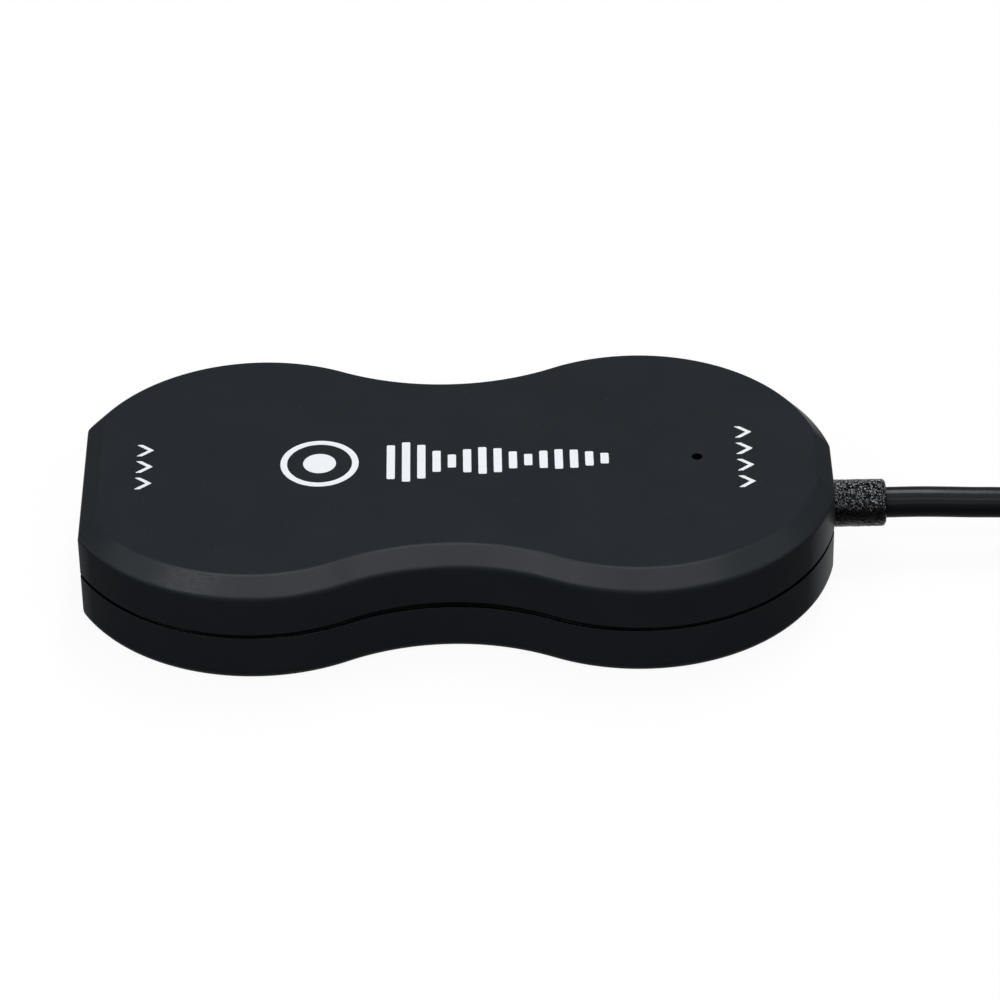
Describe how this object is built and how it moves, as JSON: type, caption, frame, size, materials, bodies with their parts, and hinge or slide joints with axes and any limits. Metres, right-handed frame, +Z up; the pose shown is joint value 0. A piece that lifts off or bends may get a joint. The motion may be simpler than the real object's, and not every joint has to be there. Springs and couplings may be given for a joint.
{
  "type": "video capture box",
  "caption": "Flat figure-eight plastic box with an HDMI socket in its input end, a status light pinhole, and a captive USB lead that leaves through a strain relief, wound and tied.",
  "frame": {"origin": "on the resting surface, under the middle of the case between its end flats", "axes": "+X from the HDMI end to the end where the lead leaves, +Y across the case, +Z up"},
  "size_m": [0.228, 0.0665, 0.015],
  "materials": {
    "case": "fine satin moulded ABS",
    "blackened_steel": "blackened steel screws",
    "plated_steel": "nickel plated stamped steel",
    "board": "solder-masked glass epoxy",
    "black_resin": "moulded black resin",
    "white_resin": "moulded white resin",
    "gold": "gold flashed contacts",
    "tin": "tinned metal",
    "ferrite": "pressed ferrite",
    "ceramic": "fired ceramic",
    "led_resin": "diffusing resin",
    "wire_red": "extruded wire insulation",
    "wire_white": "extruded wire insulation",
    "wire_green": "extruded wire insulation",
    "wire_black": "extruded wire insulation",
    "cable": "glossy extruded PVC jacket",
    "relief": "grained moulded PVC",
    "tie": "soft plastic strap"
  },
  "bodies": {
    "root": {"top_cover": "case", "bottom_cover": "case", "case_screws": "blackened_steel", "circuit_board": "board", "board_screws": "plated_steel", "hdmi_shell": "plated_steel", "hdmi_insulator": "black_resin", "hdmi_contacts": "gold", "capture_chip": "black_resin", "memory_chip": "black_resin", "chip_leads": "tin", "surge_arrays": "black_resin", "crystal": "tin", "power_inductor": "ferrite", "voltage_regulator": "black_resin", "bulk_capacitor": "tin", "capacitors": "ceramic", "resistors": "black_resin", "status_led": "led_resin", "led_legs": "tin", "solder_joints": "tin", "usb_wire_red": "wire_red", "usb_wire_white": "wire_white", "usb_wire_green": "wire_green", "usb_wire_black": "wire_black", "cable_stub": "cable", "strain_relief": "relief", "usb_cable": "cable", "usb_cable_coil": "cable", "usb_cable_tail": "cable", "cable_tie": "tie", "usb_plug_grip": "relief", "usb_plug_shell": "plated_steel", "usb_plug_insulator": "white_resin", "usb_plug_contacts": "gold"}
  },
  "joints": []
}
